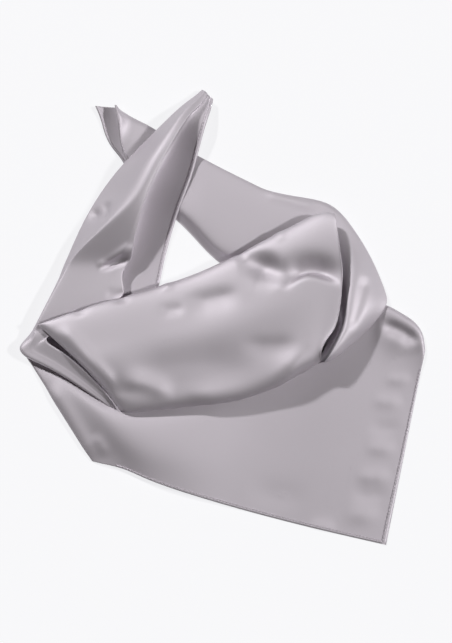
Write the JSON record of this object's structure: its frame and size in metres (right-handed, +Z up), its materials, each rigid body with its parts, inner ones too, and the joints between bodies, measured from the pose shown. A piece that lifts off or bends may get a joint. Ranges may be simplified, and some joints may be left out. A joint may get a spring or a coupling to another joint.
{
  "type": "satin neckerchief, laid loosely folded",
  "caption": "Square satin neckerchief laid loosely crossed on a surface, with its point spread flat in front, a puffed cowl fold over it and two tails crossed behind.",
  "frame": {"origin": "middle of the scarf's bounding box, on the surface that it lies on", "axes": "+Z up from the surface, +Y from the flat point towards the crossed tails, +X towards the bend at the right"},
  "size_m": [0.4023, 0.4535, 0.0404],
  "materials": {
    "satin": "smooth satin with a soft gloss"
  },
  "bodies": {
    "root": {"front_panel": "satin", "right_corner": "satin", "cowl_fold": "satin", "cowl_layers": "satin", "left_tail": "satin", "tail_layers": "satin", "back_band": "satin", "right_bend": "satin", "back_tail": "satin"}
  },
  "joints": []
}
